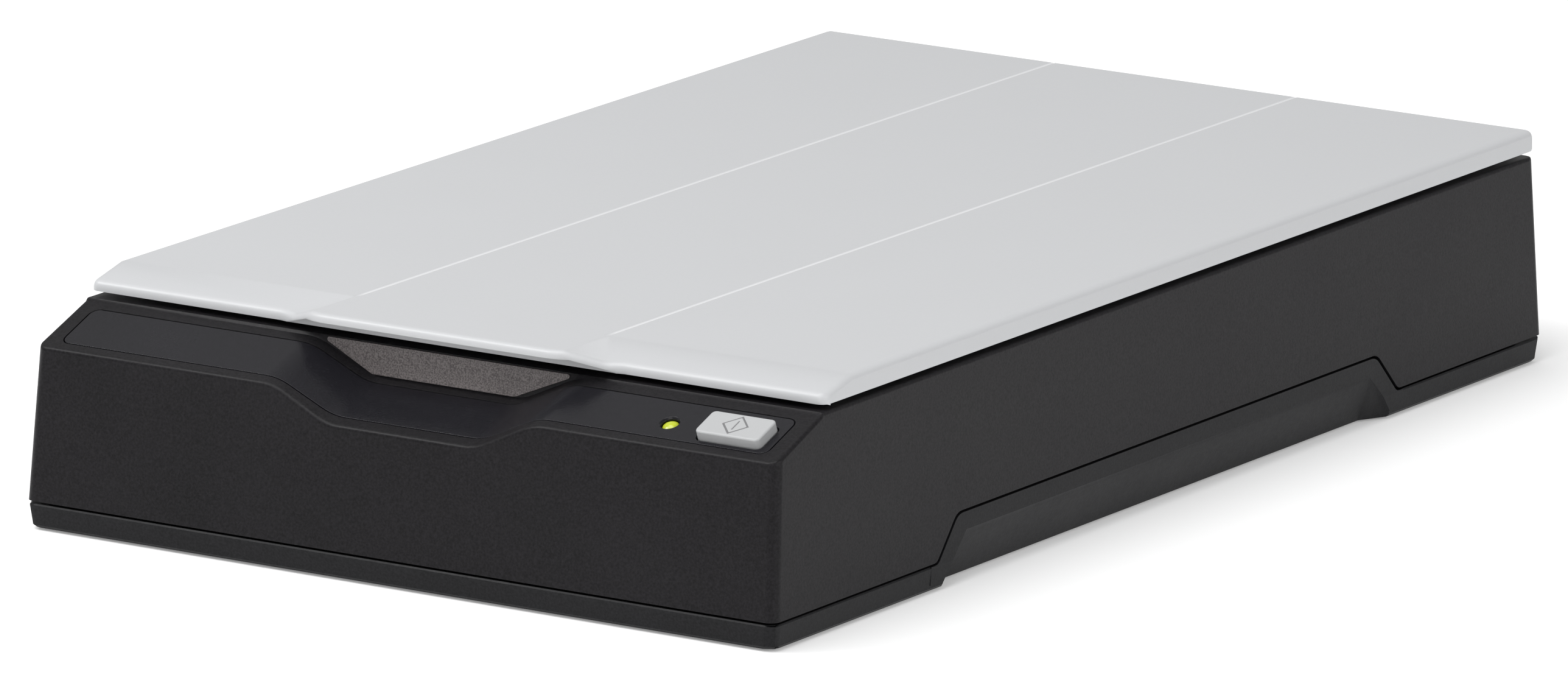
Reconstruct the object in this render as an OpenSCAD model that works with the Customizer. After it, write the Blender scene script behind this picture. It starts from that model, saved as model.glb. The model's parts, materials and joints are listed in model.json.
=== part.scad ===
// A6 flatbed scanner: a case with a sloped front, a removable hinged lid, and a
// contact image sensor that a belt pulls along a rod under the glass.
// X is to the right, Y to the back, Z up. The origin is on the table, under the middle.

/* [Case] */
// Width of the case at its seam
case_w = 145; // [144:0.5:147]
// Depth of the case at its seam
case_d = 234; // [233:0.5:236]
// Height of the deck that carries the lid
deck_z = 35.5; // [35.2:0.1:35.5]
// Radius of the upright corners
corner_r = 1.8; // [1.2:0.1:2.4]
// Gap of the seam between the two case halves
seam = 0.4; // [0.3:0.05:0.6]
// How far the rubber feet stand proud
foot_h = 0.4; // [0.3:0.1:0.5]

/* [Front] */
// Depth of the finger dip in the front
dip_depth = 4.9; // [3:0.1:5]
// Half width of the finger dip where it starts
dip_top = 25.2; // [24:0.2:26]
// Half width of the floor of the finger dip
dip_floor = 14.4; // [12:0.2:16]

/* [Lid] */
// Height of the top of the lid above the table
lid_top = 40; // [39.8:0.1:40.4]
// Half distance between the two long creases
crease_x = 24.3; // [23.8:0.1:25]
// Half width of the finger tongue at its tip
tongue_x = 24; // [23:0.5:25]

/* [Drive] */
// Travel of the image sensor
travel = 154; // [120:1:154]
// Radius at which the belt runs on its pulleys
belt_r = 4.7; // [4.5:0.1:4.8]
// Teeth of the motor pinion
pinion_teeth = 12; // [12:1:12]
// Teeth of the drive gear
gear_teeth = 52; // [52:1:52]

/* [Hidden] */
eps = 0.01;

// Levels and places of the case
base_z = foot_h;
base_top = 4.45;
cover_z = base_top + seam;
draft = 0.0406;
front_lean = 0.0908;
nose_y = -114.7 + (234 - case_d) / 2;
nose_z = 30;
deck_y = -101.1;
slope = 5.2 / 13.6;
slope_a = atan(slope);
nose_r = 1.0;
edge_r = 0.6;
wall_lean = 0.4;
skin = 2.2;
deck_t = 1.5;
inner_x = case_w / 2 - 2.9;
half_w = case_w / 2;
half_d = case_d / 2;
rear_in = 113.5;

// Hand grips in the two long sides
grip_low = 69.8;
grip_high = 63.5;
grip_top = 11.4;

// Control band, button and lamp
band_x = 68;
band_front = -112.7;
band_rear = -103.4;
band_gap = 0.22;
band_t = 0.8;
button_x = 60.25;
button_y = -108.85;
button_w = 12;
button_l = 6.1;
button_h = 1.6;
lamp_x = 47.45;
lamp_y = -108.8;
lamp_r = 1.45;

// Glass and window
window_x = 55;
window_front = -76;
window_rear = 80;
glass_x = 61;
glass_front = -90;
glass_rear = 88;
glass_t = 2.8;
seal_t = 0.2;
glass_top = deck_z - deck_t - seal_t;
glass_low = glass_top - glass_t;

// Lid
lid_x = 71.1;
lid_low = 36.5;
lid_front = -100.6;
lid_rear = 115.8;
lid_rear_r = 1.0;
lid_r = 1.6;
bevel_y = -92.4;
bevel = 0.236;
flank = 0.35;
tongue_y = -105.7;
tongue_foot = 31.8;
tongue_low = 38.6;
hinge_y = 113.6;
hinge_z = 38;
knuckle_r = 1.25;
hinge_x = 45;
post_w = 12;
pin_r = 0.75;

// Scan unit
home_y = -80;
rod_z = 9.8;
rod_r = 2.5;
belt_x = 24;
belt_z = 7.5;
belt_h = 4;
drive_y = 99;
idler_y = -91.5;
tooth_m = 0.5;
motor_x = belt_x + tooth_m * (pinion_teeth + gear_teeth) / 2;
gear_z = 13.2;
gear_t = 3;
plate_z = 12;
screws = [[-62, -95.2], [62, -95.2], [-62, 106], [62, 106]];
feet = [[-60, -106], [60, -106], [-60, 93], [60, 93]];

// ---- helpers ----

// Extrudes a YZ outline along X, centred on x
module along_x(x, w) {
    translate([x, 0, 0]) rotate([90, 0, 90]) linear_extrude(w, center = true) children();
}

// Extrudes an XZ outline along Y, centred on y
module along_y(y, d) {
    translate([0, y, 0]) rotate([90, 0, 0]) linear_extrude(d, center = true) children();
}

// A box from its low corner to its high corner
module span(low, high) {
    translate(low) cube(high - low);
}

// A block with upright round corners, centred on the origin in plan
module rounded_block(w, d, low, high, r, n = 8) {
    translate([0, 0, low]) linear_extrude(high - low)
        polygon([for (q = [[1, 1, 0], [-1, 1, 90], [-1, -1, 180], [1, -1, 270]], i = [0 : n])
            [q[0] * (w / 2 - r), q[1] * (d / 2 - r)] + r * [cos(q[2] + 90 * i / n),
                sin(q[2] + 90 * i / n)]]);
}

module pair() {
    for (s = [0, 1]) mirror([s, 0, 0]) children();
}

// Skins a list of sections that have the same number of points
module skinned(sections) {
    n = len(sections[0]);
    m = len(sections);
    polyhedron(
        [for (s = sections) each s],
        concat(
            [[for (j = [n - 1 : -1 : 0]) j], [for (j = [0 : n - 1]) (m - 1) * n + j]],
            [for (i = [0 : m - 2], j = [0 : n - 1]) let (k = (j + 1) % n)
                each [[i * n + j, (i + 1) * n + k, (i + 1) * n + j],
                      [i * n + j, i * n + k, (i + 1) * n + k]]]));
}

// Rounds the corner c between the directions to a and to b, with tangents of length t
function turn(a, c, b, t, n = 6) = let (p = c + t * (a - c) / norm(a - c),
    q = c + t * (b - c) / norm(b - c))
    [for (i = [0 : n]) let (u = i / n) (1 - u) * (1 - u) * p + 2 * u * (1 - u) * c + u * u * q];

// How far a round edge of radius r falls back at t from the side
function fall(t, r) = t >= r ? 0 : r - sqrt(r * r - (r - t) * (r - t));

// Mirrors a list of rising positive stations to the other side
function both_sides(xs) = concat([for (i = [len(xs) - 1 : -1 : 0]) -xs[i]], xs);

// Even stations from a to b
function steps(a, b, n) = [for (i = [0 : n]) a + (b - a) * i / n];

// A coil spring of wire radius w and coil radius r, standing on Z
module coil(r, w, h, turns) {
    n = turns * 14;
    skinned([for (i = [0 : n]) let (a = 360 * turns * i / n, z = w + (h - 2 * w) * i / n)
        [for (k = [0 : 5]) [cos(a) * (r + w * cos(60 * k)), sin(a) * (r + w * cos(60 * k)),
            z + w * sin(60 * k)]]]);
}

// A pan-head screw with its head at z = 0, pointing up
module screw(head_r, head_h, shank_r, length) {
    difference() {
        cylinder(r = head_r, h = head_h, $fn = 40);
        for (a = [0, 90]) rotate([0, 0, a])
            translate([-head_r * 0.55, -head_r * 0.12, -eps])
                cube([head_r * 1.1, head_r * 0.24, head_h * 0.6]);
    }
    translate([0, 0, head_h]) cylinder(r = shank_r, h = length, $fn = 32);
}

function involute(a) = tan(a) * 180 / PI - a;

// Outline of an involute gear with one tooth on +X
module gear_outline(teeth, play = 0.1) {
    pitch = tooth_m * teeth / 2;
    base = pitch * cos(20);
    tip = pitch + 0.85 * tooth_m;
    root = pitch - 1.2 * tooth_m;
    half = 90 / teeth - play / pitch * 90 / PI + involute(20);
    low = max(base, root + 0.02);
    radii = steps(low, tip, 3);
    function flank_a(r) = half - involute(acos(min(1, base / r)));
    polygon([for (k = [0 : teeth - 1]) let (c = 360 * k / teeth) each concat(
        [[root * cos(c - half), root * sin(c - half)]],
        [for (r = radii) [r * cos(c - flank_a(r)), r * sin(c - flank_a(r))]],
        [for (i = [3 : -1 : 0]) let (r = radii[i]) [r * cos(c + flank_a(r)), r * sin(c + flank_a(r))]],
        [[root * cos(c + half), root * sin(c + half)]])]);
}

// ---- the outer shape of the case ----

// Depth of the finger dip at x: two straight ramps with soft ends
soft = 4.5;
ramp = dip_top - dip_floor;
function soft_step(u) = u < -soft / 2 ? 0 : u > soft / 2 ? u
    : (u + soft / 2) * (u + soft / 2) / (2 * soft);
function dip(x) = dip_depth / ramp * (soft_step(dip_top - abs(x)) - soft_step(dip_floor - abs(x)));

function slope_z(y) = nose_z + slope * (y - nose_y);

// Side draft, which grows from nothing at |x| = 50 to all of it at the sides
function drafted(x, z) = x - sign(x) * draft * (z - cover_z) * max(0, (abs(x) - 50) / (half_w - 50));

cover_stations = both_sides(concat(
    [dip_floor - 8], steps(dip_floor - soft / 2, dip_floor + soft / 2, 6),
    steps(dip_top - soft / 2, dip_top + soft / 2, 6), [50],
    [for (i = [8 : -1 : 0]) half_w - corner_r * (1 - cos(90 * i / 8))]));

function cover_section(x) = let (
        t = half_w - abs(x),
        back = fall(t, corner_r),
        down = fall(t, edge_r),
        foot = -half_d - front_lean * cover_z + back,
        drop = dip(x) + down,
        cz = (nose_z + slope * (foot - nose_y) - drop) / (1 - slope * front_lean),
        nose = [foot + front_lean * cz, cz],
        low = [foot + front_lean * cover_z, cover_z],
        step_y = deck_y - wall_lean,
        step = [step_y, slope_z(step_y) - drop],
        heel = [half_d - draft * (deck_z - cover_z) - back, deck_z - down],
        rear = [half_d - back, cover_z],
        brow = [deck_y, deck_z - down])
    [for (p = concat([low], turn(low, nose, step, nose_r * 0.62, 7), [step, brow],
            turn(brow, heel, rear, edge_r * 0.95, 6), [rear]))
        [drafted(x, p[1]), p[0], p[1]]];

// A sheet that follows the front slope and its dip, between two heights above it
module band(x, front, rear, low, high) {
    xs = both_sides(concat([dip_floor - 8], steps(dip_floor - soft / 2, dip_floor + soft / 2, 6),
        steps(dip_top - soft / 2, dip_top + soft / 2, 6), [x]));
    skinned([for (s = xs) [for (p = [[front, low], [front, high], [rear, high], [rear, low]])
        [s, p[0], slope_z(p[0]) - dip(s) + p[1]]]]);
}

// Stands its children on the front slope at (x, y), with Z along the slope's normal
module on_slope(x, y) {
    translate([x, y, slope_z(y)]) rotate([slope_a, 0, 0]) children();
}

// ---- case ----

module grip_outline(gap) {
    polygon(concat(
        [[-grip_low - gap - 6, 0], [-grip_low - gap - 6, base_top + gap]],
        turn([-grip_low - 9, base_top + gap], [-grip_low - gap, base_top + gap],
            [-grip_high - gap, grip_top + gap], 0.8, 4),
        turn([-grip_low - gap, base_top + gap], [-grip_high - gap, grip_top + gap],
            [0, grip_top + gap], 1.4, 5),
        turn([0, grip_top + gap], [grip_high + gap, grip_top + gap], [grip_low + gap, base_top + gap],
            1.4, 5),
        turn([grip_high + gap, grip_top + gap], [grip_low + gap, base_top + gap],
            [grip_low + 9, base_top + gap], 0.8, 4),
        [[grip_low + gap + 6, base_top + gap], [grip_low + gap + 6, 0]]));
}

module tray_ring(inset, z) {
    translate([0, 0, z]) linear_extrude(eps) offset(r = corner_r)
        square([case_w - 2 * (inset + corner_r), case_d - 2 * (inset + corner_r)], center = true);
}

// All that lies behind the leaning end of a hand-grip scoop
module scoop_end() {
    normal = [-1.912, 1, 0.937];
    reach = -69.02 / norm(normal);
    rotate([0, acos(normal[2] / norm(normal)), atan2(normal[1], normal[0])])
        translate([-200, -200, reach - 400]) cube(400);
}

// The scoop under one hand grip: a wedge with an eased upper edge
module scoop() {
    outside = half_w + 2;
    intersection() {
        along_y(0, 150) polygon([[68.81, -0.5], [70.86, 4.6], [71.56, 6.25], [72.1, 7.7], [72.62, 9.4],
            [outside, 9.4], [outside, -0.5]]);
        scoop_end();
        mirror([0, 1, 0]) scoop_end();
    }
}

module lower_case() {
    floor_z = base_z + 2;
    ring_top = 6.9;
    color("#303133") difference() {
        union() {
            difference() {
                union() {
                    hull() {
                        tray_ring(0.8, base_z);
                        tray_ring(0.35, base_z + 0.5);
                        tray_ring(0, base_top - 0.25);
                        tray_ring(0.2, base_top - eps);
                    }
                    span([-inner_x + 0.3, -114.3, base_z + 1], [inner_x - 0.3, 113.2, ring_top]);
                }
                span([-inner_x + 1.5, -113.1, floor_z], [inner_x - 1.5, 112, ring_top + 1]);
            }
            intersection() {
                pair() along_y(0, 150) polygon([[67, base_z + 1], [half_w - 0.2, base_z + 1],
                    [half_w, base_top - 0.25],
                    [half_w - draft * (grip_top - cover_z), grip_top], [inner_x - 0.3, grip_top],
                        [inner_x - 0.3, 14], [67, 14]]);
                union() {
                    along_x(0, 150) grip_outline(0);
                    pair() span([66, -grip_high, 1], [inner_x, grip_high, 15]);
                }
                span([-80, -grip_low - 2, 0], [80, grip_low + 2, 20]);
            }
            // posts for the case screws, the main board and the motor plate
            for (p = screws) translate([p[0], p[1], floor_z - eps])
                cylinder(r = 4.6, h = 0.6, $fn = 40);
            for (p = [[-54, 86], [-54, 101], [-11, 86]]) translate([p[0], p[1], floor_z - eps])
                cylinder(r = 2.2, h = 6 - floor_z + eps, $fn = 32);
            for (p = [[11.8, 109.8], [50.2, 110.2], [47, 88.2]]) translate([p[0], p[1], floor_z - eps])
                cylinder(r = 2.3, h = plate_z - floor_z + eps, $fn = 32);
            // hook for the belt's tension spring
            span([belt_x - 2, -110.6, floor_z - eps], [belt_x + 2, -108.9, 7]);
        }
        scoop();
        mirror([1, 0, 0]) scoop();
        for (p = screws) translate([p[0], p[1], 0]) {
            cylinder(r = 1.5, h = 9, $fn = 32);
            translate([0, 0, base_z - 1]) cylinder(r = 2.9, h = 2.2, $fn = 40);
        }
        for (p = [[-54, 86], [-54, 101], [-11, 86]]) translate([p[0], p[1], 3])
            cylinder(r = 0.8, h = 9, $fn = 24);
        for (p = [[11.8, 109.8], [50.2, 110.2], [47, 88.2]]) translate([p[0], p[1], 5])
            cylinder(r = 0.9, h = 9, $fn = 24);
        for (p = feet) translate([p[0], p[1], 0]) cylinder(r = 5.1, h = base_z + 0.8, $fn = 48);
        span([-34, -16, 0], [34, 16, base_z + 0.15]);
    }
}

module upper_case() {
    color("#343233") difference() {
        union() {
            difference() {
                skinned([for (x = cover_stations) cover_section(x)]);
                // the hollow, and its higher parts behind the nose
                along_x(0, 2 * inner_x) polygon([[-114.8, 4], [-113.1, 23.4], [-98.8, 28.8],
                    [-98.8, deck_z - deck_t],
                    [rear_in, deck_z - deck_t], [rear_in, 4]]);
                pair() along_x(49, 40.2) polygon([[-112.3, 15], [-112.3, 28.3], [-100, 32.9],
                    [-95, 32.9], [-95, 15]]);
            }
            // screw bosses, hinge sockets and the posts of the button board
            for (p = screws) translate([p[0], p[1], base_z + 2.65])
                cylinder(r = 3, h = deck_z - deck_t - base_z - 2.6, $fn = 40);
            pair() span([hinge_x - 7.5, 108.1, 16.2], [hinge_x + 7.5, rear_in + 0.1, deck_z - 1]);
            for (x = [52.2, 68.3]) on_slope(x, button_y) translate([0, 0, -7.5])
                cylinder(r = 1, h = 6.5, $fn = 24);
        }
        pair() span([hinge_x - 6.3, 109.3, 12], [hinge_x + 6.3, rear_in - 0.06, deck_z + 1]);
        for (p = screws) translate([p[0], p[1], 0]) cylinder(r = 1.05, h = 14, $fn = 32);
        span([-window_x, window_front, 30], [window_x, window_rear, 40]);
        pair() along_x(70, 12) grip_outline(seam);
        intersection() {
            band(band_x + 1, band_front - 1, band_rear + 1, -band_t, 4);
            translate([0, (band_front + band_rear) / 2, 0])
                rounded_block(2 * (band_x + band_gap), band_rear - band_front + 2 * band_gap, 20, 45,
                    1.5 + band_gap);
        }
        on_slope(lamp_x, lamp_y) translate([0, 0, -4]) cylinder(r = lamp_r, h = 8, $fn = 48);
        on_slope(button_x, button_y) rounded_block(button_w + 0.6, button_l + 0.6, -4, 4, 1.2);
        // sockets in the back wall
        span([-35.3, 110, 7], [-22.7, 120, 18.5]);
        span([-18.8, 110, 7], [-9.2, 120, 18.5]);
    }
}

module control_panel() {
    color("#35353a") difference() {
        intersection() {
            band(band_x + 1, band_front - 1, band_rear + 1, 0.02 - band_t, 0);
            translate([0, (band_front + band_rear) / 2, 0])
                rounded_block(2 * band_x, band_rear - band_front, 20, 45, 1.5);
        }
        on_slope(lamp_x, lamp_y) {
            translate([0, 0, -4]) cylinder(r = lamp_r, h = 8, $fn = 48);
            translate([0, 0, -0.4]) cylinder(r1 = lamp_r - 0.1, r2 = lamp_r + 0.5, h = 0.6, $fn = 48);
        }
        on_slope(button_x, button_y) rounded_block(button_w + 0.6, button_l + 0.6, -4, 4, 1.2);
    }
}

module foot(i) {
    color("#1c1c1c") translate([feet[i][0], feet[i][1], 0]) {
        cylinder(r = 4.6, h = 0.2, $fn = 48);
        translate([0, 0, 0.2]) cylinder(r = 5, h = foot_h + 0.6, $fn = 48);
    }
}

module rating_label() {
    color("#c8c8c4") span([-33.5, -15.5, base_z + 0.05], [33.5, 15.5, base_z + 0.15]);
}

module case_screws() {
    color("#3a3a3c") for (p = screws) translate([p[0], p[1], base_z + 0.2]) screw(2.6, 1, 1, 10);
}

// ---- button and lamp ----

module button_cap() {
    r = 0.9;
    e = 0.36;
    hull() for (s = [-1, 1], t = [-1, 1]) translate([s * (button_w / 2 - r), t * (button_l / 2 - r),
        0]) {
        translate([0, 0, -1.6]) cylinder(r = r, h = eps, $fn = 32);
        for (a = [0 : 15 : 90]) translate([0, 0, button_h - e + e * sin(a)])
            cylinder(r = r - e + e * cos(a), h = eps, $fn = 32);
    }
}

module scan_button() {
    diamond_w = 2.5;
    line = 0.28;
    color("#cfd0d2") on_slope(button_x, button_y) {
        difference() {
            button_cap();
            translate([0, 0, button_h - 0.15]) linear_extrude(1) {
                difference() {
                    polygon([[-diamond_w, 0], [0, -diamond_w], [diamond_w, 0], [0, diamond_w]]);
                    polygon([[-diamond_w + line * 1.4, 0], [0, -diamond_w + line * 1.4],
                        [diamond_w - line * 1.4, 0], [0, diamond_w - line * 1.4]]);
                }
                square([line, 2.5], center = true);
            }
        }
        // the flange under the skin keeps the button in
        translate([-5, -2.6, -3.3]) cube([10, 5.2, 1.8]);
        translate([-5, -4.2, -3.3]) cube([10, 8.4, 0.5]);
    }
}

module switch_plunger() {
    color("#1d1d1d") on_slope(button_x, button_y) translate([0, 0, -4.7])
        cylinder(r = 1.1, h = 1.4, $fn = 32);
}

module tact_switch() {
    color("#77797c") on_slope(button_x, button_y) translate([0, 0, -7.5]) difference() {
        translate([-3, -3, 0]) cube([6, 6, 3.1]);
        translate([0, 0, 1.4]) cylinder(r = 1.25, h = 3, $fn = 32);
    }
}

module button_board() {
    color("#2d6b45") on_slope(0, button_y) translate([42, -4.2, -8.5]) cube([27, 8.4, 1]);
}

module status_led() {
    color("#d8e65a") on_slope(lamp_x, lamp_y) {
        translate([0, 0, -7.48]) cylinder(r = 1.2, h = 0.8, $fn = 32);
        translate([0, 0, -6.6]) sphere(r = 0.85, $fn = 24);
    }
}

module led_lens() {
    low = 0.62;
    color("#c6d52a") on_slope(lamp_x, lamp_y) {
        translate([0, 0, -5.6]) cylinder(r = 1.35, h = 5.6 - low, $fn = 48);
        translate([0, 0, -low]) intersection() {
            translate([0, 0, -1.6]) sphere(r = 2.1, $fn = 48);
            cylinder(r = 1.35, h = 1, $fn = 48);
        }
    }
}

// ---- glass ----

module platen_glass() {
    color("#bcd3cf") span([-glass_x, glass_front, glass_low], [glass_x, glass_rear, glass_top]);
}

module glass_seal() {
    color("#222222") difference() {
        span([-glass_x, glass_front, glass_top], [glass_x, glass_rear, glass_top + seal_t]);
        span([-window_x - 0.5, window_front - 0.5, 30], [window_x + 0.5, window_rear + 0.5, 40]);
    }
}

module reference_strip() {
    color("#f4f4f2") span([-window_x, window_front - 8, glass_low - 0.12],
        [window_x, window_front, glass_low]);
}

// ---- lid ----

// The front edge of the lid at x
function lid_edge(x) = tongue_y + (lid_front - tongue_y) / (tongue_foot - tongue_x)
    * (soft_step(abs(x) - tongue_x) - soft_step(abs(x) - tongue_foot));

lid_stations = both_sides(concat([tongue_x - 10], steps(tongue_x - soft / 2, crease_x, 4),
    steps(crease_x + 0.7, tongue_foot + soft / 2, 12), [50],
        [for (i = [8 : -1 : 0]) lid_x - lid_r * (1 - cos(90 * i / 8))]));

function lid_section(x) = let (
        t = lid_x - abs(x),
        back = fall(t, lid_rear_r),
        drop = fall(t, lid_r) * 0.65,
        front = lid_edge(x) + fall(t, lid_r),
        top = lid_top - drop,
        rise = max(0, abs(x) - crease_x) * flank,
        top_front = min(bevel_y - 0.6, bevel_y - rise / bevel),
        fold_y = max(top_front, front + 1.9),
        fold_z = lid_top - (abs(x) <= crease_x ? 0 : min(rise, bevel * (bevel_y - fold_y))) - drop,
        lip_z = abs(x) <= crease_x ? lid_top : lid_top - min(rise, bevel * (bevel_y - front)),
        lip = [front, lip_z - drop],
        low = [front + 0.15, lid_low],
        heel = [lid_rear - back, top],
        chin = [lid_rear - back, lid_low + 0.3],
        tail = [lid_rear - 0.3 - back, lid_low])
    [for (p = concat([low], turn(low, lip, [fold_y, fold_z], 1.2, 6),
        [[fold_y, fold_z], [bevel_y, top]],
            turn([bevel_y, top], heel, chin, 1.1, 6), [chin, tail]))
        [x, p[0], p[1]]];

module lid_cover() {
    color("#cfd0d3") difference() {
        skinned([for (x = lid_stations) lid_section(x)]);
        // the hollow that takes the liner, and the finger space under the tongue
        rim = 1.7;
        along_x(0, 2 * (lid_x - rim)) polygon([[lid_front + rim, 30], [lid_front + rim, 37.3],
            [bevel_y - 1.1, tongue_low], [106, tongue_low], [106, 30]]);
        along_y(-104.45, 7.5) polygon([[-tongue_foot - 19.8, 30], [tongue_foot + 19.8, 30],
            [tongue_x + 1.4, tongue_low], [-tongue_x - 1.4, tongue_low]]);
        // two long creases
        pair() along_y((lid_rear + bevel_y) / 2 + 0.8, lid_rear - bevel_y + 2)
            polygon([[crease_x - 0.55, lid_top + eps],
            [crease_x - 0.55, lid_top + 1], [crease_x + 0.55, lid_top + 1],
                [crease_x + 0.55, lid_top + eps], [crease_x, lid_top - 0.26]]);
        // notches and bores of the hinges
        pair() {
            span([hinge_x - 6.4, 107.5, 30], [hinge_x + 6.4, 118, 38.4]);
            translate([hinge_x, hinge_y, hinge_z]) rotate([0, 90, 0])
                cylinder(r = knuckle_r + 0.25, h = 12.8, center = true, $fn = 40);
            span([hinge_x - 6.4, 107.5, 37], [hinge_x + 6.4, hinge_y, 39.4]);
            translate([hinge_x, hinge_y, hinge_z]) rotate([0, 90, 0])
                cylinder(r = pin_r + 0.01, h = 18.2, center = true, $fn = 32);
        }
    }
}

module lid_liner() {
    color("#d9dadb") difference() {
        union() {
            span([-69.2, -98.6, 36.6], [69.2, -95.9, 37.15]);
            span([-69.2, -96, 36.6], [69.2, 105.7, 37.8]);
        }
        // shallow ribs show as a frame round the foam
        span([-57.5, -79, 36], [57.5, 83, 36.9]);
    }
}

module foam_pad() {
    color("#e6e6e2") span([-window_x + 1.2, window_front + 1.2, glass_top + 0.5],
        [window_x - 1.2, window_rear - 1.2, 36.9]);
}

module backing_sheet() {
    color("#f6f6f4") span([-window_x + 1, window_front + 1, glass_top + 0.1],
        [window_x - 1, window_rear - 1, glass_top + 0.5]);
}

module hinge_post(x) {
    color("#2b2b2c") translate([x, 0, 0]) difference() {
        union() {
            span([-post_w / 2, 109.6, 17.5], [post_w / 2, 113.2, 34.9]);
            span([-5.8, 111.7, 34], [5.8, 113.2, hinge_z]);
            translate([0, hinge_y, hinge_z]) rotate([0, 90, 0])
                cylinder(r = knuckle_r, h = 11.6, center = true, $fn = 48);
        }
        translate([0, hinge_y, hinge_z]) rotate([0, 90, 0])
            cylinder(r = pin_r + 0.05, h = 20, center = true, $fn = 48);
    }
}

module hinge_pins() {
    color("#b9bcc0") for (x = [-hinge_x, hinge_x]) translate([x, hinge_y, hinge_z]) rotate([0, 90, 0])
        cylinder(r = pin_r, h = 18, center = true, $fn = 48);
}

// ---- scan unit ----

module guide_rod() {
    color("#c4c7ca") translate([0, 0.5, rod_z]) rotate([90, 0, 0])
        cylinder(r = rod_r, h = 193, center = true, $fn = 64);
}

module rod_clips() {
    color("#4a4b4d") for (y = [-95.5, 95.5]) difference() {
        span([-6, y - 2.5, 2.4], [6, y + 2.5, 14]);
        translate([0, y, rod_z]) rotate([90, 0, 0]) cylinder(r = rod_r + 0.01, h = 20, center = true,
            $fn = 64);
    }
}

module carriage() {
    clamp_x = belt_x - belt_r;
    color("#2a2a2b") translate([0, home_y, 0]) difference() {
        union() {
            span([-63, -10.5, 14.5], [63, 10.5, 22]);
            span([-7, -10.5, 5.8], [7, 18, 15]);
            span([clamp_x - 2, -4, 6.5], [clamp_x + 2, 7, 15]);
        }
        span([-61.2, -8.7, 16], [61.2, 8.7, 30]);
        span([clamp_x - 0.7, -9, 5], [clamp_x + 0.7, 9, 12.2]);
        translate([0, 0, rod_z]) rotate([90, 0, 0]) cylinder(r = rod_r + 0.06, h = 60, center = true,
            $fn = 64);
    }
}

module cis_housing() {
    color("#202021") translate([0, home_y, 0]) difference() {
        span([-60.8, -8.4, 18], [60.8, 8.4, 29.4]);
        span([-56.5, -3, 23], [56.5, 7, 30]);
        span([-57, -5, 17], [57, 5, 19.4]);
        for (x = [-40, 40]) translate([x, 6.6, 17]) cylinder(r = 1.5, h = 3, $fn = 32);
    }
}

module cis_window() {
    color("#9fb7b5") translate([0, home_y, 0]) span([-58, -4.5, 29.4], [58, 8, 30.2]);
}

module cis_light_guide() {
    color("#eef2f4") translate([0, home_y + 4.6, 25.2]) rotate([0, 90, 0])
        cylinder(r = 1.5, h = 112, center = true, $fn = 32);
}

module cis_lens_array() {
    color("#5a4a44") translate([0, home_y, 0]) span([-54, -1.1, 23], [54, 1.1, 28.6]);
}

module cis_board() {
    color("#2f6d47") translate([0, home_y, 0]) span([-56.8, -4.8, 18], [56.8, 4.8, 19.2]);
}

module cis_glides() {
    color("#e8e8e4") for (x = [-59.5, 59.5], y = [-6, 6]) translate([x, home_y + y, 0]) difference() {
        span([-1.2, -2, 29.4], [1.2, 2, glass_low - 0.06]);
        for (t = [-1, 1]) translate([0, t * 2, 30.9]) rotate([45, 0, 0]) cube([4, 1, 1], center = true);
    }
}

module cis_springs() {
    color("#b8bbbe") for (x = [-40, 40]) translate([x, home_y + 6.6, 16]) coil(1.1, 0.18, 3.9, 4);
}

module drive_belt() {
    inner = belt_r - 0.4;
    color("#1b1b1c") translate([belt_x, 0, belt_z]) difference() {
        union() {
            for (y = [idler_y, drive_y]) translate([0, y, 0])
                cylinder(r = inner + 0.8, h = belt_h, $fn = 64);
            span([-inner - 0.8, idler_y, 0], [inner + 0.8, drive_y, belt_h]);
        }
        for (y = [idler_y, drive_y]) translate([0, y, -1])
            cylinder(r = inner, h = belt_h + 2, $fn = 64);
        span([-inner, idler_y, -1], [inner, drive_y, belt_h + 1]);
    }
}

// A flanged pulley with a plain bore
module pulley(low, high, bore) {
    core = belt_r - 0.5;
    difference() {
        union() {
            cylinder(r = core, h = belt_h + 1, $fn = 64);
            for (z = [low, belt_h + 0.6]) translate([0, 0, z])
                cylinder(r = core + 1.4, h = 0.4, $fn = 64);
            translate([0, 0, 0.5]) cylinder(r = 2.6, h = high, $fn = 48);
        }
        translate([0, 0, -1]) cylinder(r = bore, h = high + 5, $fn = 48);
    }
}

module drive_pulley() {
    color("#d2cfc4") translate([belt_x, drive_y, belt_z - 0.5]) pulley(0, gear_z - belt_z, 1.56);
}

module drive_gear() {
    color("#e4e2da") translate([belt_x, drive_y, gear_z]) difference() {
        union() {
            linear_extrude(gear_t) gear_outline(gear_teeth);
            translate([0, 0, gear_t - eps]) cylinder(r = 3.2, h = 0.8, $fn = 48);
        }
        translate([0, 0, -1]) cylinder(r = 1.56, h = 9, $fn = 48);
        for (a = [0 : 72 : 359]) rotate([0, 0, a]) translate([7.4, 0, -1])
            cylinder(r = 2.2, h = 9, $fn = 32);
    }
}

module gear_axle() {
    color("#c4c7ca") translate([belt_x, drive_y, 2.4]) {
        cylinder(r = 1.5, h = 15.2, $fn = 48);
        cylinder(r = 3, h = 3.5, $fn = 48);
    }
}

module idler_pulley() {
    color("#d2cfc4") translate([belt_x, idler_y, belt_z - 0.5]) pulley(0, belt_h + 1.2, 1.56);
}

module idler_axle() {
    color("#c4c7ca") translate([belt_x, idler_y, 0]) {
        translate([0, 0, 4]) cylinder(r = 1.5, h = 9.4, $fn = 48);
        translate([0, 0, 13.4]) cylinder(r = 2.3, h = 0.6, $fn = 48);
    }
}

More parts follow.
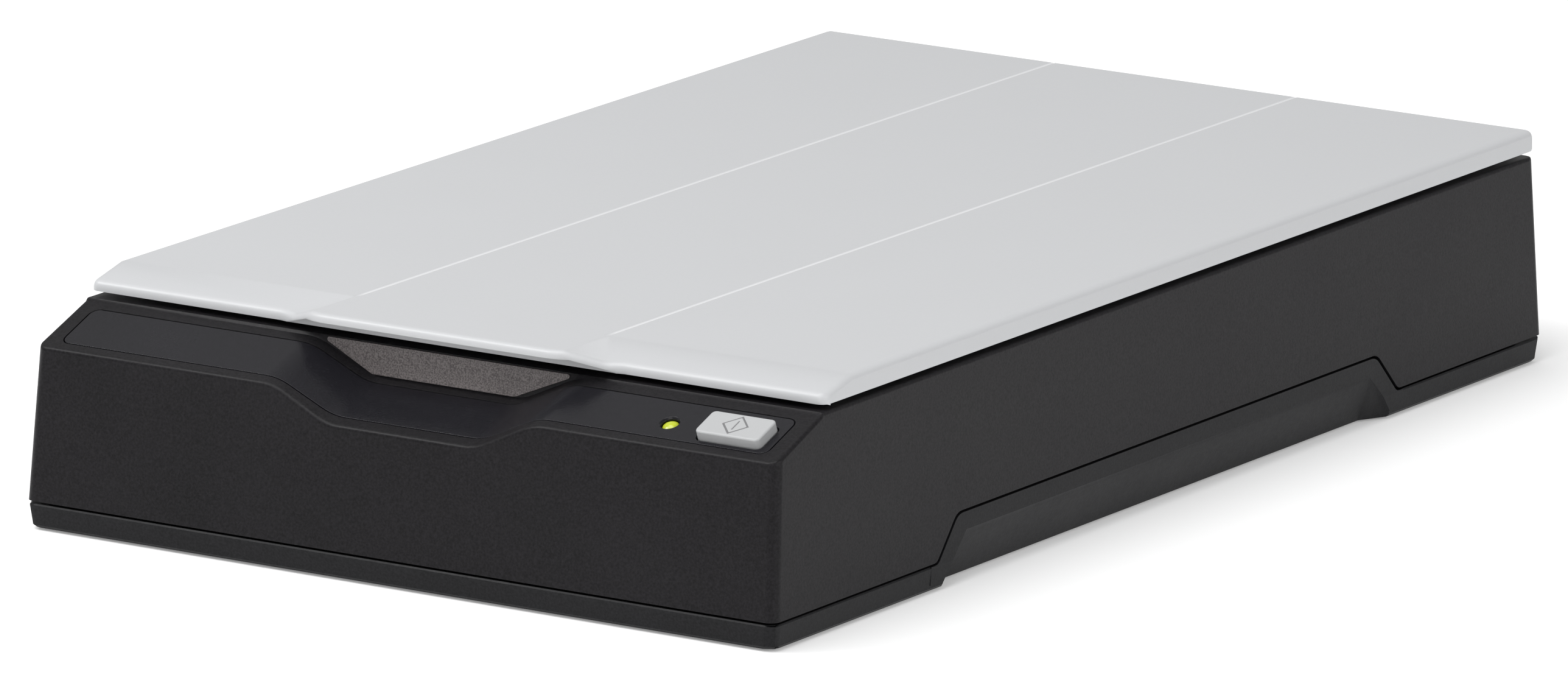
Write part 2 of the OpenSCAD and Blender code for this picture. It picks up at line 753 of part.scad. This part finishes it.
module belt_tensioner() {
    color("#3b3c3e") difference() {
        span([belt_x - 4, -97.6, 2.4], [belt_x + 4, -86.4, 6.4]);
        translate([belt_x, idler_y, 4]) cylinder(r = 1.5, h = 9, $fn = 48);
    }
}

module tension_spring() {
    color("#b8bbbe") translate([belt_x, -97.7, 4.6]) rotate([90, 0, 0]) coil(1.5, 0.22, 11.1, 9);
}

module motor_can() {
    color("#8d9094") translate([motor_x, drive_y, 2.6]) difference() {
        union() {
            cylinder(r = 9.8, h = 9.3, $fn = 72);
            translate([0, 0, 8.6]) rounded_block(7, 26.6, 0, 0.7, 3.4);
        }
        translate([0, 0, 5]) cylinder(r = 0.8, h = 9, $fn = 32);
    }
}

module motor_shaft() {
    color("#c4c7ca") translate([motor_x, drive_y, 8]) cylinder(r = 0.75, h = 9, $fn = 32);
}

module motor_pinion() {
    color("#c9a24a") translate([motor_x, drive_y, gear_z]) rotate([0, 0, 180 / pinion_teeth])
        difference() {
        linear_extrude(gear_t) gear_outline(pinion_teeth);
        translate([0, 0, -1]) cylinder(r = 0.75, h = 9, $fn = 32);
    }
}

module motor_bracket() {
    color("#a9acb0") difference() {
        span([9.6, 86.2, plate_z], [53, 112.6, plate_z + 1]);
        translate([belt_x, drive_y, 10]) cylinder(r = 2.75, h = 9, $fn = 48);
        translate([motor_x, drive_y, 10]) cylinder(r = 4, h = 9, $fn = 48);
        for (p = [[11.8, 109.8], [50.2, 110.2], [47, 88.2]]) translate([p[0], p[1], 10])
            cylinder(r = 1.3, h = 9, $fn = 32);
    }
}

module bracket_screws() {
    color("#8a8c90") for (p = [[11.8, 109.8], [50.2, 110.2], [47, 88.2]])
        translate([p[0], p[1], plate_z + 2])
        mirror([0, 0, 1]) screw(2, 1, 0.9, 5);
}

// ---- electronics ----

module main_board() {
    color("#2d6b45") difference() {
        span([-57, 83, 6.02], [-8, 111.6, 7.2]);
        for (p = [[-54, 86], [-54, 101], [-11, 86]]) translate([p[0], p[1], 5])
            cylinder(r = 1.1, h = 9, $fn = 32);
    }
}

module board_screws() {
    color("#8a8c90") for (p = [[-54, 86], [-54, 101], [-11, 86]]) translate([p[0], p[1], 8])
        mirror([0, 0, 1]) screw(1.8, 0.8, 0.8, 3.4);
}

module main_chip() {
    color("#1a1a1b") {
        span([-47, 86, 7.35], [-35, 98, 8.6]);
        for (i = [0 : 9]) {
            for (y = [85, 98]) span([-46.2 + 1.15 * i, y, 7.2], [-45.7 + 1.15 * i, y + 1, 7.6]);
            for (x = [-48, -35]) span([x, 86.9 + 1.05 * i, 7.2], [x + 1, 87.4 + 1.05 * i, 7.6]);
        }
    }
}

module board_parts() {
    color("#35353a") {
        for (p = [[-31, 87.5], [-26.5, 87.5]]) translate([p[0], p[1], 7.2])
            cylinder(r = 1.9, h = 5.2, $fn = 32);
        span([-30, 92, 7.2], [-24, 96, 8.8]);
        span([-21, 85, 7.2], [-14.5, 90, 9.4]);
        span([-20.5, 104, 7.2], [-20, 110, 9]);
        for (i = [0 : 4]) span([-20 + 2.2 * i, 93.5, 7.2], [-19 + 2.2 * i, 95.5, 7.9]);
    }
}

module usb_socket() {
    color("#b9bcc0") difference() {
        span([-35, 98.5, 7.2], [-23, 115.9, 18.2]);
        span([-33.2, 107, 8.9], [-24.8, 117, 16.6]);
    }
}

module usb_tongue() {
    color("#f0f0ee") span([-31.9, 107, 11.2], [-26.1, 115, 14.4]);
}

module power_jack() {
    color("#171718") difference() {
        span([-18.5, 101.5, 7.2], [-9.5, 115.9, 18.2]);
        translate([-14, 106.5, 13]) rotate([-90, 0, 0]) cylinder(r = 2.85, h = 12, $fn = 48);
    }
}

module jack_pin() {
    color("#c4c7ca") translate([-14, 106.5, 13]) rotate([-90, 0, 0])
        cylinder(r = 1.05, h = 9, $fn = 32);
}

// The flat cable of the sensor. Its lower run lies on the floor.
module ribbon_floor() {
    color("#e9e9ea") span([-31, -92, 2.45], [-19, 82.7, 2.75]);
}

// Its loop rolls along at half the speed of the carriage and feeds the upper run
module ribbon_loop() {
    low = 3.05;
    high = 13.4;
    thick = 0.3;
    r = (high - low) / 2;
    c = [-93 + r, low + r];
    color("#e9e9ea") along_x(-25, 12) polygon(concat(
        [[c[0] + 6, low], [c[0], low]],
        [for (a = [-90 : -10 : -270]) c + r * [cos(a), sin(a)]],
        [[c[0], high], [-6, high], [-6, high - thick]],
        [for (a = [-270 : 10 : -90]) c + (r - thick) * [cos(a), sin(a)]],
        [[c[0] + 6, low + thick]]));
}

module ribbon_plug() {
    color("#e2e2dc") span([-32, -85.5, 13.7], [-18, -82, 14.5]);
}

// The wires of the button board, along the side wall and across the back
module panel_cable() {
    color("#5c5d60") {
        span([66.6, -100.8, 23.5], [67.4, 102, 26]);
        span([-12.5, 101.2, 23.5], [66.6, 102, 26]);
        span([-13.3, 101.2, 19], [-12.5, 102, 26]);
        span([64.4, -101.6, 23.5], [67.4, -100.8, 26]);
    }
}

lower_case();
upper_case();
control_panel();
scan_button();
switch_plunger();
led_lens();
status_led();
button_board();
tact_switch();
platen_glass();
glass_seal();
reference_strip();
lid_cover();
lid_liner();
foam_pad();
backing_sheet();
hinge_post(-hinge_x);  // hinge_post_left
hinge_post(hinge_x);  // hinge_post_right
hinge_pins();
guide_rod();
rod_clips();
carriage();
cis_housing();
cis_window();
cis_light_guide();
cis_lens_array();
cis_board();
cis_glides();
cis_springs();
drive_belt();
drive_pulley();
drive_gear();
gear_axle();
idler_pulley();
idler_axle();
belt_tensioner();
tension_spring();
motor_can();
motor_shaft();
motor_pinion();
motor_bracket();
main_board();
main_chip();
board_parts();
usb_socket();
usb_tongue();
power_jack();
jack_pin();
ribbon_floor();
ribbon_loop();
ribbon_plug();
panel_cable();
case_screws();
bracket_screws();
board_screws();
rating_label();
foot(0);  // foot_front_left
foot(1);  // foot_front_right
foot(2);  // foot_rear_left
foot(3);  // foot_rear_right
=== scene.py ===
import json
import math
import bmesh
import bpy
from mathutils import Matrix, Vector


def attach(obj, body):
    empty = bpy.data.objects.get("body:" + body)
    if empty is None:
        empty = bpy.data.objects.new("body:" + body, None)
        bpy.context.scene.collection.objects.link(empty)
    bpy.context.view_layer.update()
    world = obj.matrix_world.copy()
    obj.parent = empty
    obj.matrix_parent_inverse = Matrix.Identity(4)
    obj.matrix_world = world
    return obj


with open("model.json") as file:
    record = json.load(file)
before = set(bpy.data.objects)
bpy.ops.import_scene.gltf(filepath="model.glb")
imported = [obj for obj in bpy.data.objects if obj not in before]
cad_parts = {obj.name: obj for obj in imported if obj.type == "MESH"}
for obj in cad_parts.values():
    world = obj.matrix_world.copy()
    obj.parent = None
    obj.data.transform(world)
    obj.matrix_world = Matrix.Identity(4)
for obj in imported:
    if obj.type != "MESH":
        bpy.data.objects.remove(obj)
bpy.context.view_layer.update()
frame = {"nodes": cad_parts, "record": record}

nodes = frame["nodes"]
MM = 0.001


# ---- node helpers ----

def new_material(name):
    """An empty node material with one Principled shader."""
    mat = bpy.data.materials.new(name)
    mat.use_nodes = True
    tree = mat.node_tree
    tree.nodes.clear()
    out = tree.nodes.new("ShaderNodeOutputMaterial")
    shader = tree.nodes.new("ShaderNodeBsdfPrincipled")
    tree.links.new(shader.outputs[0], out.inputs[0])
    return mat, tree, shader


def object_coords(tree, stretch=None):
    """Object coordinates in metres, which are the shared frame's, stretched if asked."""
    coord = tree.nodes.new("ShaderNodeTexCoord")
    if stretch is None:
        return coord.outputs["Object"]
    mapping = tree.nodes.new("ShaderNodeMapping")
    mapping.inputs["Scale"].default_value = stretch
    tree.links.new(coord.outputs["Object"], mapping.inputs["Vector"])
    return mapping.outputs["Vector"]


def noise(tree, vector, scale, detail=2.0, roughness=0.5):
    """Noise with about `scale` waves to the metre."""
    n = tree.nodes.new("ShaderNodeTexNoise")
    n.inputs["Scale"].default_value = scale
    n.inputs["Detail"].default_value = detail
    n.inputs["Roughness"].default_value = roughness
    tree.links.new(vector, n.inputs["Vector"])
    return n.outputs[0]


def spread(tree, value, low, high, start=0.3, end=0.7):
    """Maps start..end to low..high, and clamps."""
    n = tree.nodes.new("ShaderNodeMapRange")
    n.inputs["From Min"].default_value = start
    n.inputs["From Max"].default_value = end
    n.inputs["To Min"].default_value = low
    n.inputs["To Max"].default_value = high
    tree.links.new(value, n.inputs["Value"])
    return n.outputs[0]


def shades(tree, factor, dark, light):
    """A colour between dark, at factor 0, and light, at factor 1."""
    n = tree.nodes.new("ShaderNodeMix")
    n.data_type = "RGBA"
    first, second = [s for s in n.inputs if s.type == "RGBA"]
    first.default_value = (*dark, 1)
    second.default_value = (*light, 1)
    tree.links.new(factor, n.inputs["Factor"])
    return [s for s in n.outputs if s.type == "RGBA"][0]


def add(tree, a, b, amount):
    """a + b * amount."""
    n = tree.nodes.new("ShaderNodeMath")
    n.operation = "MULTIPLY_ADD"
    n.inputs[1].default_value = amount
    tree.links.new(b, n.inputs[0])
    tree.links.new(a, n.inputs[2])
    return n.outputs[0]


def bump(tree, shader, height, strength, distance):
    """Relief from a height of 0 to 1, which stands for `distance` metres."""
    n = tree.nodes.new("ShaderNodeBump")
    n.inputs["Strength"].default_value = strength
    n.inputs["Distance"].default_value = distance
    tree.links.new(height, n.inputs["Height"])
    tree.links.new(n.outputs[0], shader.inputs["Normal"])


def feed(tree, output, shader, socket):
    """Links an output to the shader's input of that name."""
    tree.links.new(output, shader.inputs[socket])


def plastic(name, colour, rough=0.5, grain=0.35, depth=0.02, vary=0.06,
            gloss_vary=0.05, specular=0.5, coat=0.0):
    """Moulded plastic with a fine spark-eroded texture and slow changes of shade.

    The grains are `grain` mm wide and `depth` mm deep. The colour varies by the share `vary`,
    and the roughness by `gloss_vary` either way."""
    mat, tree, shader = new_material(name)
    where = object_coords(tree)
    slow = noise(tree, where, 45.0, 3.0)
    fine = noise(tree, where, 1000.0 / grain, 2.0, 0.6)
    mid = noise(tree, where, 300.0 / grain, 2.0, 0.55)
    dark = [c * (1 - vary) for c in colour]
    light = [c * (1 + vary) for c in colour]
    mottle = spread(tree, add(tree, fine, slow, 0.3), 0, 1, 0.42, 0.88)
    feed(tree, shades(tree, mottle, dark, light), shader, "Base Color")
    sheen = add(tree, slow, mid, 0.6)
    sheen = spread(tree, sheen, rough - gloss_vary, rough + gloss_vary, 0.4, 1.2)
    feed(tree, sheen, shader, "Roughness")
    shader.inputs["Specular IOR Level"].default_value = specular
    shader.inputs["Coat Weight"].default_value = coat
    bump(tree, shader, add(tree, fine, mid, 0.7), 0.5, depth * MM)
    return mat


def speckle(name, dark, light, grain):
    """Satin plastic sprayed with a two-colour speckle, whose dots are about `grain` mm wide."""
    mat, tree, shader = new_material(name)
    where = object_coords(tree)
    dots = noise(tree, where, 1000.0 / grain, 1.0, 0.5)
    slow = noise(tree, where, 60.0, 3.0)
    sprayed = spread(tree, add(tree, dots, slow, 0.25), 0, 1, 0.46, 0.78)
    feed(tree, shades(tree, sprayed, dark, light), shader, "Base Color")
    feed(tree, spread(tree, slow, 0.38, 0.48), shader, "Roughness")
    shader.inputs["Specular IOR Level"].default_value = 0.35
    bump(tree, shader, dots, 0.5, 0.02 * MM)
    return mat


def metal(name, colour, rough=0.3, along=(1, 1, 1), depth=0.006):
    """Metal with a fine grain `depth` mm deep; `along` scales it, so a low value draws it out."""
    mat, tree, shader = new_material(name)
    where = object_coords(tree, along)
    lines = noise(tree, where, 900.0, 4.0, 0.7)
    slow = noise(tree, where, 60.0, 3.0)
    dark = [c * 0.86 for c in colour]
    feed(tree, shades(tree, spread(tree, slow, 0, 1), dark, colour), shader, "Base Color")
    feed(tree, spread(tree, lines, rough - 0.08, rough + 0.08), shader, "Roughness")
    shader.inputs["Metallic"].default_value = 1.0
    bump(tree, shader, lines, 0.5, depth * MM)
    return mat


def clear(name, tint, rough=0.02, ior=1.5, alpha=1.0, transmission=1.0):
    """Glass or clear plastic with faint smears in its gloss; a thin sheet has a low alpha."""
    mat, tree, shader = new_material(name)
    where = object_coords(tree)
    smear = noise(tree, where, 35.0, 4.0, 0.6)
    feed(tree, spread(tree, smear, rough, rough + 0.03), shader, "Roughness")
    light = [min(1.0, c * 1.02) for c in tint]
    feed(tree, shades(tree, spread(tree, smear, 0, 1), tint, light), shader, "Base Color")
    shader.inputs["IOR"].default_value = ior
    shader.inputs["Transmission Weight"].default_value = transmission
    shader.inputs["Alpha"].default_value = alpha
    return mat


# each made by the function of the same kind, with these arguments after the name
recipes = {
    plastic: {
        "case_black": ((0.0092, 0.0085, 0.0097), 0.40, 0.42, 0.030, 0.50, 0.06, 0.135),
        "base_black": ((0.0098, 0.0098, 0.0108), 0.42, 0.42, 0.020, 0.40, 0.06, 0.13),
        "panel_blue_black": ((0.0072, 0.0068, 0.0092), 0.25, 0.34, 0.03, 0.35, 0.05, 0.25),
        "button_grey": ((0.395, 0.40, 0.405), 0.42, 0.25, 0.012, 0.02),
        "lid_grey": ((0.474, 0.480, 0.491), 0.40, 0.25, 0.010, 0.012, 0.04),
        "liner_grey": ((0.66, 0.67, 0.68), 0.50, 0.35, 0.02, 0.03),
        "dark_plastic": ((0.045, 0.045, 0.050), 0.50, 0.35, 0.02, 0.10),
        "pale_plastic": ((0.80, 0.79, 0.74), 0.40, 0.30, 0.01, 0.03),
        "white_sheet": ((0.88, 0.88, 0.86), 0.35, 0.20, 0.004, 0.015),
        "foam_white": ((0.80, 0.80, 0.77), 0.90, 0.55, 0.12, 0.08),
        "seal_black": ((0.016, 0.016, 0.017), 0.45, 0.25, 0.008, 0.08),
        "board_green": ((0.02, 0.11, 0.05), 0.30, 0.60, 0.008, 0.20, 0.05, 0.5, 0.4),
        "chip_black": ((0.020, 0.020, 0.022), 0.55, 0.15, 0.01, 0.10),
        "parts_dark": ((0.05, 0.05, 0.06), 0.35, 0.30, 0.01, 0.15),
        "foot_rubber": ((0.018, 0.018, 0.018), 0.80, 0.40, 0.03, 0.12),
        "belt_rubber": ((0.020, 0.020, 0.021), 0.70, 0.40, 0.03, 0.12),
        "ribbon_white": ((0.76, 0.77, 0.80), 0.30, 0.40, 0.01, 0.03),
        "wire_grey": ((0.22, 0.22, 0.24), 0.45, 0.40, 0.02, 0.08),
        "label_paper": ((0.58, 0.58, 0.56), 0.40, 0.25, 0.006, 0.03),
        "lamp_lens": ((0.46, 0.52, 0.018), 0.22, 0.30, 0.004, 0.05, 0.03, 0.6),
        "icon_ink": ((0.16, 0.16, 0.165), 0.50, 0.20, 0.010, 0.10),
    },
    metal: {
        "screw_black": ((0.08, 0.08, 0.085), 0.38),
        "steel": ((0.66, 0.67, 0.68), 0.22),
        "spring_steel": ((0.55, 0.56, 0.57), 0.30),
        "zinc_sheet": ((0.58, 0.59, 0.60), 0.34, (1, 0.1, 1)),
        "brass": ((0.78, 0.58, 0.26), 0.28),
        "plated_shell": ((0.70, 0.71, 0.72), 0.18),
        "contact": ((0.80, 0.68, 0.36), 0.22),
    },
    clear: {
        "platen_clear": ((0.036, 0.044, 0.043), 0.01, 1.5, 0.14, 0.0),
        "sensor_clear": ((0.80, 0.90, 0.88), 0.02, 1.5),
        "light_guide_clear": ((0.92, 0.96, 0.97), 0.05, 1.49),
        "lamp_body": ((0.70, 0.85, 0.20), 0.15, 1.5, 1.0, 0.6),
    },
    speckle: {
        "wall_speckle": ((0.066, 0.057, 0.057), (0.166, 0.148, 0.147), 0.26),
    },
}
materials = {
    name: make(name, *values)
    for make, table in recipes.items()
    for name, values in table.items()
}


def paint_crease_highlights(mat, crease, front, half, highlight_tone):
    """Paints a highlight into the colour along the lid's fold lines, over `half` mm to each side,
    where the grooves would catch light.

    They lie at x = +-crease mm, behind y = front mm."""
    tree = mat.node_tree
    shader = [n for n in tree.nodes if n.type == "BSDF_PRINCIPLED"][0]
    old = shader.inputs["Base Color"].links[0].from_socket
    split = tree.nodes.new("ShaderNodeSeparateXYZ")
    tree.links.new(object_coords(tree), split.inputs[0])
    value = split.outputs[0]
    for operation, other in (("ABSOLUTE", 0.0), ("SUBTRACT", crease * MM), ("ABSOLUTE", 0.0)):
        step = tree.nodes.new("ShaderNodeMath")
        step.operation = operation
        step.inputs[1].default_value = other
        tree.links.new(value, step.inputs[0])
        value = step.outputs[0]
    near = spread(tree, value, 1.0, 0.0, half * MM * 0.4, half * MM)
    behind = spread(tree, split.outputs[1], 0.0, 1.0, front * MM, (front + 3) * MM)
    both = tree.nodes.new("ShaderNodeMath")
    both.operation = "MULTIPLY"
    tree.links.new(near, both.inputs[0])
    tree.links.new(behind, both.inputs[1])
    # the painted highlight's tone, laid over the lid's own colour near the folds
    mixed = shades(tree, both.outputs[0], highlight_tone, highlight_tone)
    tree.links.new(old, [s for s in mixed.node.inputs if s.type == "RGBA"][0])
    feed(tree, mixed, shader, "Base Color")


# part.scad's crease_x and bevel_y
crease_x, bevel_y = 24.3, -92.4
# painted highlight: the lid's fold lines are coloured paler, as if lit
paint_crease_highlights(materials["lid_grey"], crease_x, bevel_y, 0.50, (0.635, 0.64, 0.65))

slot_of = {p["node"]: p["material_slot"] for p in frame["record"]["subparts"]}
for name, obj in nodes.items():
    obj.data.materials.clear()
    obj.data.materials.append(materials[slot_of[name]])


def soften(obj, width, segments=2, angle=28):
    """Rounds edges sharper than `angle` by `width` mm, so that they catch the light.

    Flats are first merged back into single faces, and keep their shading flat."""
    for p in obj.data.polygons:
        p.use_smooth = True
    weld = obj.modifiers.new("weld", "WELD")
    weld.merge_threshold = 2e-6
    flats = obj.modifiers.new("flats", "DECIMATE")
    flats.decimate_type = "DISSOLVE"
    flats.angle_limit = math.radians(0.15)
    bevel = obj.modifiers.new("bevel", "BEVEL")
    bevel.width = width * MM
    bevel.segments = segments
    bevel.limit_method = "ANGLE"
    bevel.angle_limit = math.radians(angle)
    bevel.use_clamp_overlap = True
    bevel.harden_normals = False
    normals = obj.modifiers.new("normals", "WEIGHTED_NORMAL")
    normals.mode = "FACE_AREA"
    normals.weight = 90
    normals.keep_sharp = False


# edge radii in mm, where they are not the usual one
usual_edge = 0.10
edge_of = {"control_panel": 0.20, "upper_case": 0.14}
for name, obj in nodes.items():
    soften(obj, edge_of.get(name, usual_edge))


# ---- two pieces that the CAD does not have: a speckled plate and the button's ink ----

def solid_from(name, outlines, depth, place, body, material, edge):
    """Plates `depth` thick along +Z, put at `place`, with edges rounded by `edge`; all in mm.

    An outline is (outer points, inner points or None), each counter-clockwise."""
    bm = bmesh.new()
    for outer, inner in outlines:
        count = len(outer)
        low = [bm.verts.new((x, y, 0)) for x, y in outer]
        high = [bm.verts.new((x, y, depth)) for x, y in outer]
        if inner:
            low_in = [bm.verts.new((x, y, 0)) for x, y in inner]
            high_in = [bm.verts.new((x, y, depth)) for x, y in inner]
        else:
            bm.faces.new(high)
            bm.faces.new(low[::-1])
        for i in range(count):
            j = (i + 1) % count
            bm.faces.new((low[i], low[j], high[j], high[i]))
            if inner:
                bm.faces.new((high[i], high[j], high_in[j], high_in[i]))
                bm.faces.new((low[j], low[i], low_in[i], low_in[j]))
                bm.faces.new((low_in[j], low_in[i], high_in[i], high_in[j]))
    bmesh.ops.transform(bm, matrix=Matrix.Scale(MM, 4) @ place, verts=bm.verts)
    mesh = bpy.data.meshes.new(name)
    bm.to_mesh(mesh)
    bm.free()
    mesh.materials.append(materials[material])
    obj = bpy.data.objects.new(name, mesh)
    bpy.context.scene.collection.objects.link(obj)
    soften(obj, edge)
    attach(obj, body)
    return obj


def corner(before, point, after, radius, steps=6):
    """Points of an arc that rounds `point` between its neighbours."""
    a = (Vector(before) - Vector(point)).normalized()
    b = (Vector(after) - Vector(point)).normalized()
    half = a.angle(b) / 2
    middle = Vector(point) + (a + b).normalized() * (radius / math.sin(half))
    start = Vector(point) + a * (radius / math.tan(half)) - middle
    turn = (math.pi - 2 * half) * (1 if a.cross(b) < 0 else -1)
    arc = [Matrix.Rotation(turn * k / steps, 2) @ start + middle for k in range(steps + 1)]
    return [(p.x, p.y) for p in arc]


# the case's own measures in mm, as part.scad has them
nose_y, nose_z = -114.7, 30.0
slope = 5.2 / 13.6
button_x, button_y, button_h = 60.25, -108.85, 1.6
wall_y, wall_z, wall_lean = -101.5, 30.15, math.atan(0.4 / 5.35)


def recess_insert():
    """A thin speckled plate stands on the recess's rear wall."""
    top, foot_left, foot_right, high = 24.9, 14.6, 13.0, 5.15
    corners = [(top, high), (-top, high), (-foot_left, 0.15), (foot_right, 0.15)]
    outline = []
    for i, radius in enumerate((0.4, 0.4, 2.0, 2.4)):
        outline += corner(corners[i - 1], corners[i], corners[(i + 1) % 4], radius)
    stand = Matrix.Rotation(math.pi / 2 - wall_lean, 4, "X")
    place = Matrix.Translation((0, wall_y, wall_z)) @ stand
    return solid_from("recess_insert", [(outline, None)], 0.28, place, "case",
                      "wall_speckle", 0.07)


def button_icon():
    """Ink fills the diamond and the bar that are cut into the button."""
    wide, half_bar, line, gap, engraved = 2.5, 1.25, 0.28, 0.02, 0.15

    def diamond(r):
        return [(r, 0), (0, r), (-r, 0), (0, -r)]

    bar_x, bar_y = line / 2 - gap, half_bar - gap
    bar = [(bar_x, bar_y), (-bar_x, bar_y), (-bar_x, -bar_y), (bar_x, -bar_y)]
    on_slope = Matrix.Translation((button_x, button_y, nose_z + slope * (button_y - nose_y)))
    tilt = Matrix.Rotation(math.atan(slope), 4, "X")
    lift = Matrix.Translation((0, 0, button_h - engraved))
    place = on_slope @ tilt @ lift
    outlines = [(diamond(wide - gap), diamond(wide - line * 1.4 + gap)), (bar, None)]
    return solid_from("button_icon", outlines, 0.10, place, "button",
                      "icon_ink", 0.015)


recess_insert()
button_icon()


# ---- light, floor and camera ----

def floor_piece():
    """White paper that glows faintly, so that it stays white around the object."""
    mesh = bpy.data.meshes.new("studio_floor")
    half = 6.0
    corners = [(-half, -half, 0), (half, -half, 0), (half, half, 0), (-half, half, 0)]
    mesh.from_pydata(corners, [], [(0, 1, 2, 3)])
    obj = bpy.data.objects.new("studio_floor", mesh)
    bpy.context.scene.collection.objects.link(obj)
    mat, tree, shader = new_material("floor_paper")
    where = object_coords(tree)
    paper = shades(tree, noise(tree, where, 3.0, 2.0), (0.80, 0.80, 0.80), (0.82, 0.82, 0.82))
    feed(tree, paper, shader, "Base Color")
    shader.inputs["Roughness"].default_value = 0.9
    shader.inputs["Specular IOR Level"].default_value = 0.1
    shader.inputs["Emission Color"].default_value = (1, 1, 1, 1)
    shader.inputs["Emission Strength"].default_value = 0.24
    mesh.materials.append(mat)
    return obj


def area(name, place, target, size, power):
    """A rectangular lamp; metres and watts."""
    data = bpy.data.lights.new(name, "AREA")
    data.shape = "RECTANGLE"
    data.size, data.size_y = size
    data.energy = power
    obj = bpy.data.objects.new(name, data)
    bpy.context.scene.collection.objects.link(obj)
    obj.location = place
    obj.rotation_euler = (Vector(target) - Vector(place)).to_track_quat("-Z", "Y").to_euler()
    return obj


def studio_world(left, right):
    """An even grey surround, `left` bright at -X and `right` bright at +X."""
    world = bpy.data.worlds.new("studio")
    world.use_nodes = True
    tree = world.node_tree
    sky = tree.nodes["Background"]
    sky.inputs[1].default_value = 1.0
    across = tree.nodes.new("ShaderNodeSeparateXYZ")
    coord = tree.nodes.new("ShaderNodeTexCoord")
    tree.links.new(coord.outputs["Generated"], across.inputs[0])
    tree.links.new(spread(tree, across.outputs[0], left, right, -1.0, 1.0), sky.inputs[0])
    bpy.context.scene.world = world


floor_piece()
studio_world(0.64, 0.42)
area("top_light", (-0.10, -0.42, 1.25), (0, -0.02, 0), (1.0, 0.8), 9.3)
area("left_light", (-0.70, -0.59, 0.92), (0, -0.05, 0), (0.32, 0.32), 5.0)
area("front_light", (0.30, -1.10, 0.75), (0, -0.05, 0), (0.8, 0.5), 2.5)
area("right_light", (1.25, -0.15, 0.50), (0, 0, 0), (0.9, 0.5), 4.8)
bpy.context.scene.view_settings.view_transform = "Standard"

# the camera: a long lens, from the front right and a little above; metres
frame_width = 2576
sensor_width = 36.0
azimuth = math.radians(33.5467)
elevation = math.radians(13.5121)
distance = 2.592
focal_pixels = 25886.3
right = Vector((math.cos(azimuth), math.sin(azimuth), 0))
back = Vector((
    math.sin(azimuth) * math.cos(elevation),
    -math.cos(azimuth) * math.cos(elevation),
    math.sin(elevation)))
up = back.cross(right)
shift_right, shift_up = -0.0026486, -0.0020991
target = Vector((0, 0, 0.020)) + right * shift_right + up * shift_up
camera_data = bpy.data.cameras.new("camera")
camera_data.sensor_width = sensor_width
camera_data.lens = focal_pixels / frame_width * sensor_width
camera_data.clip_start = 0.01
camera_data.clip_end = 50.0
camera = bpy.data.objects.new("camera", camera_data)
bpy.context.scene.collection.objects.link(camera)
place = target + back * distance
camera.matrix_world = Matrix((
    (right.x, up.x, back.x, place.x),
    (right.y, up.y, back.y, place.y),
    (right.z, up.z, back.z, place.z),
    (0, 0, 0, 1)))
bpy.context.scene.camera = camera
